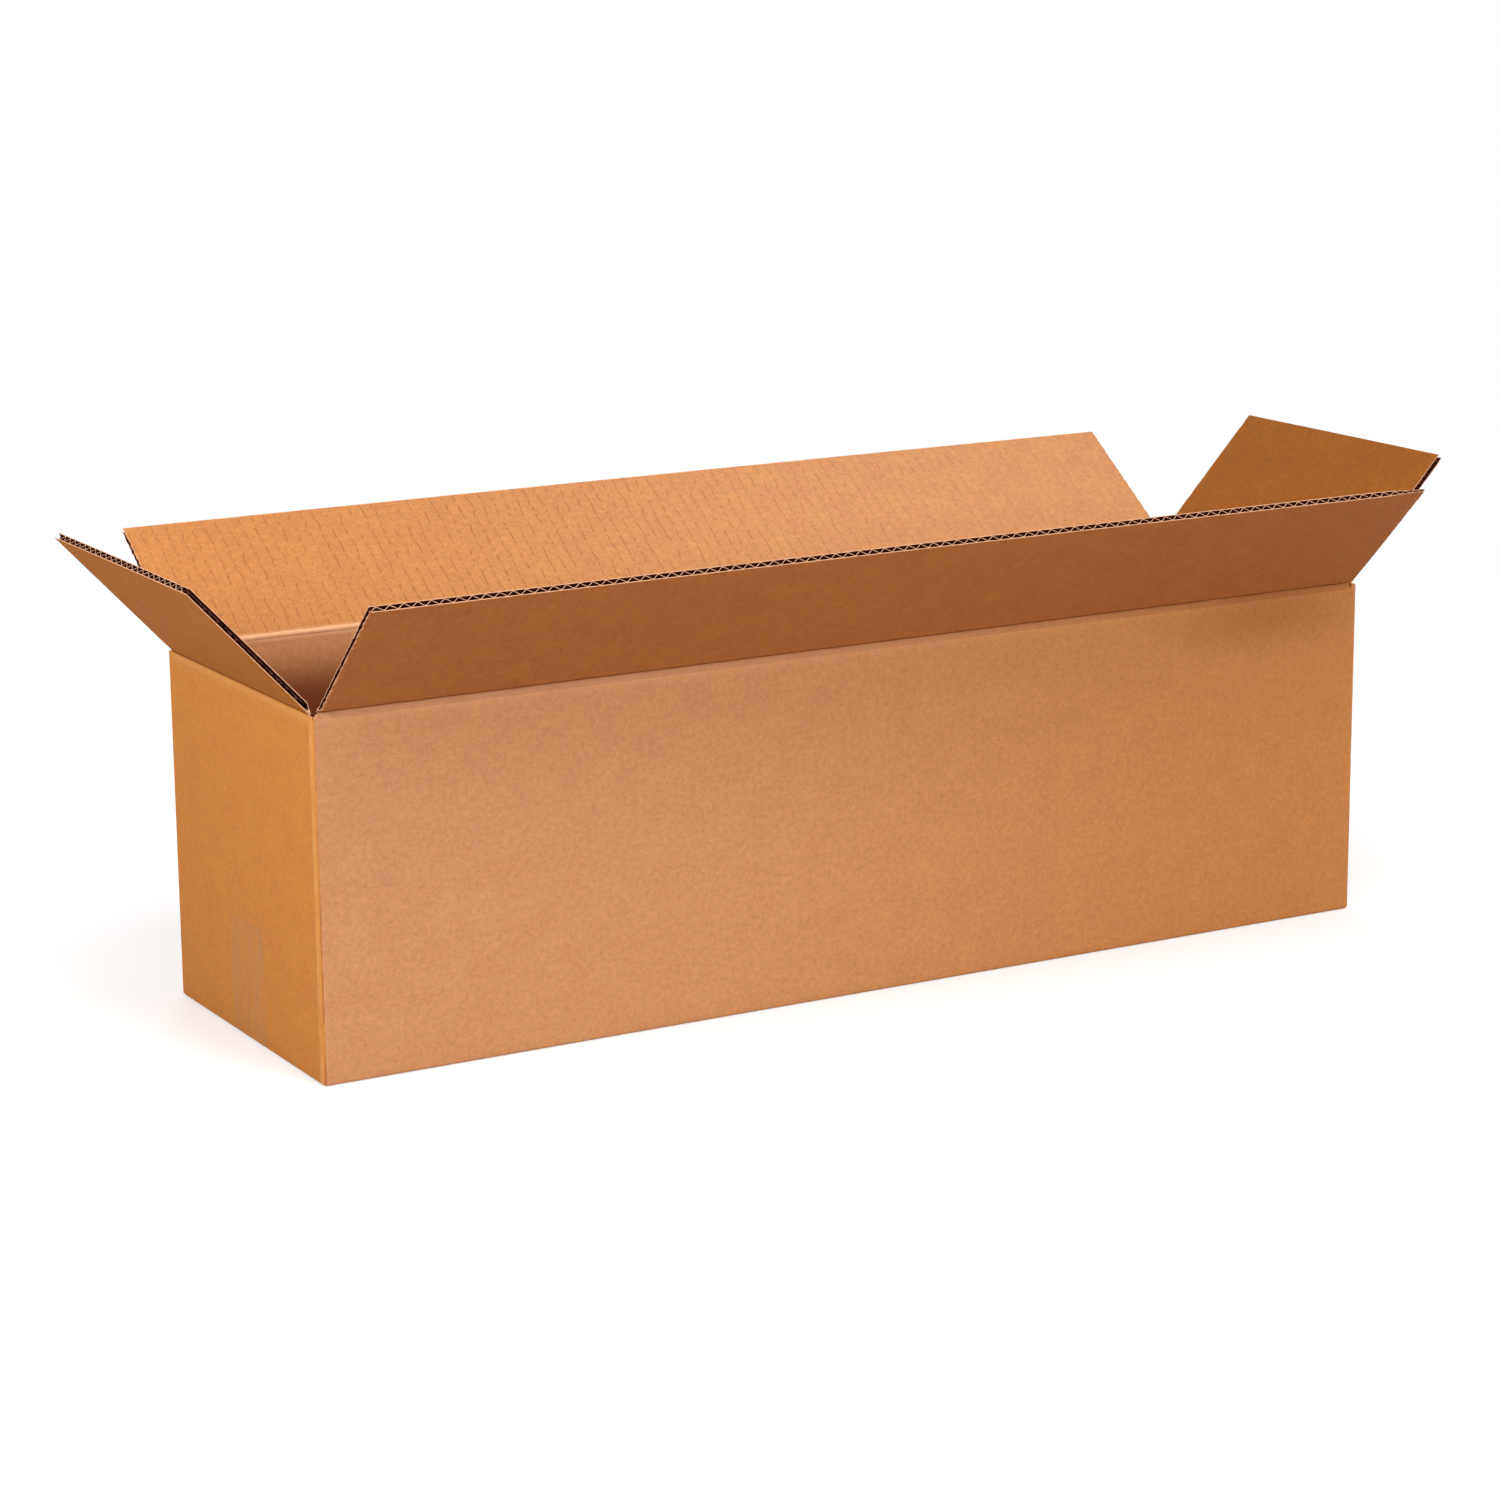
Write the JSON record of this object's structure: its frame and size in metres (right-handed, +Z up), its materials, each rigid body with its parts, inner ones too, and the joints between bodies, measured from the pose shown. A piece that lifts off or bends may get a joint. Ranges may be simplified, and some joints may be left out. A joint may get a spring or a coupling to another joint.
{
  "type": "cardboard box",
  "caption": "Long open carton folded from a sheet of fluted board, with a taped floor and hinged top flaps that close over it.",
  "frame": {"origin": "middle of the underside, on the seam of the taped floor", "axes": "+X along the length towards the right end, +Y across the width towards the back, +Z up out of the open top"},
  "size_m": [0.8578, 0.3645, 0.2905],
  "materials": {
    "kraft_board": "matte",
    "clear_tape": "gloss"
  },
  "bodies": {
    "box": {"box_body": "kraft_board", "seam_tape": "clear_tape"},
    "front_flap": {"front_flap": "kraft_board"},
    "back_flap": {"back_flap": "kraft_board"},
    "left_flap": {"left_flap": "kraft_board"},
    "right_flap": {"right_flap": "kraft_board"}
  },
  "joints": [
    {"name": "front_crease", "type": "hinge", "parent": "box", "child": "front_flap", "pos_m": [0, -0.10195, 0.2151], "axis": [1, 0, 0], "range_deg": [-136, 54]},
    {"name": "back_crease", "type": "hinge", "parent": "box", "child": "back_flap", "pos_m": [0, 0.10195, 0.2151], "axis": [-1, 0, 0], "range_deg": [-145, 45]},
    {"name": "left_crease", "type": "hinge", "parent": "box", "child": "left_flap", "pos_m": [-0.35905, 0, 0.2139], "axis": [0, -1, 0], "range_deg": [-133, 87]},
    {"name": "right_crease", "type": "hinge", "parent": "box", "child": "right_flap", "pos_m": [0.35905, 0, 0.2139], "axis": [0, 1, 0], "range_deg": [-133.5, 86.5]}
  ]
}
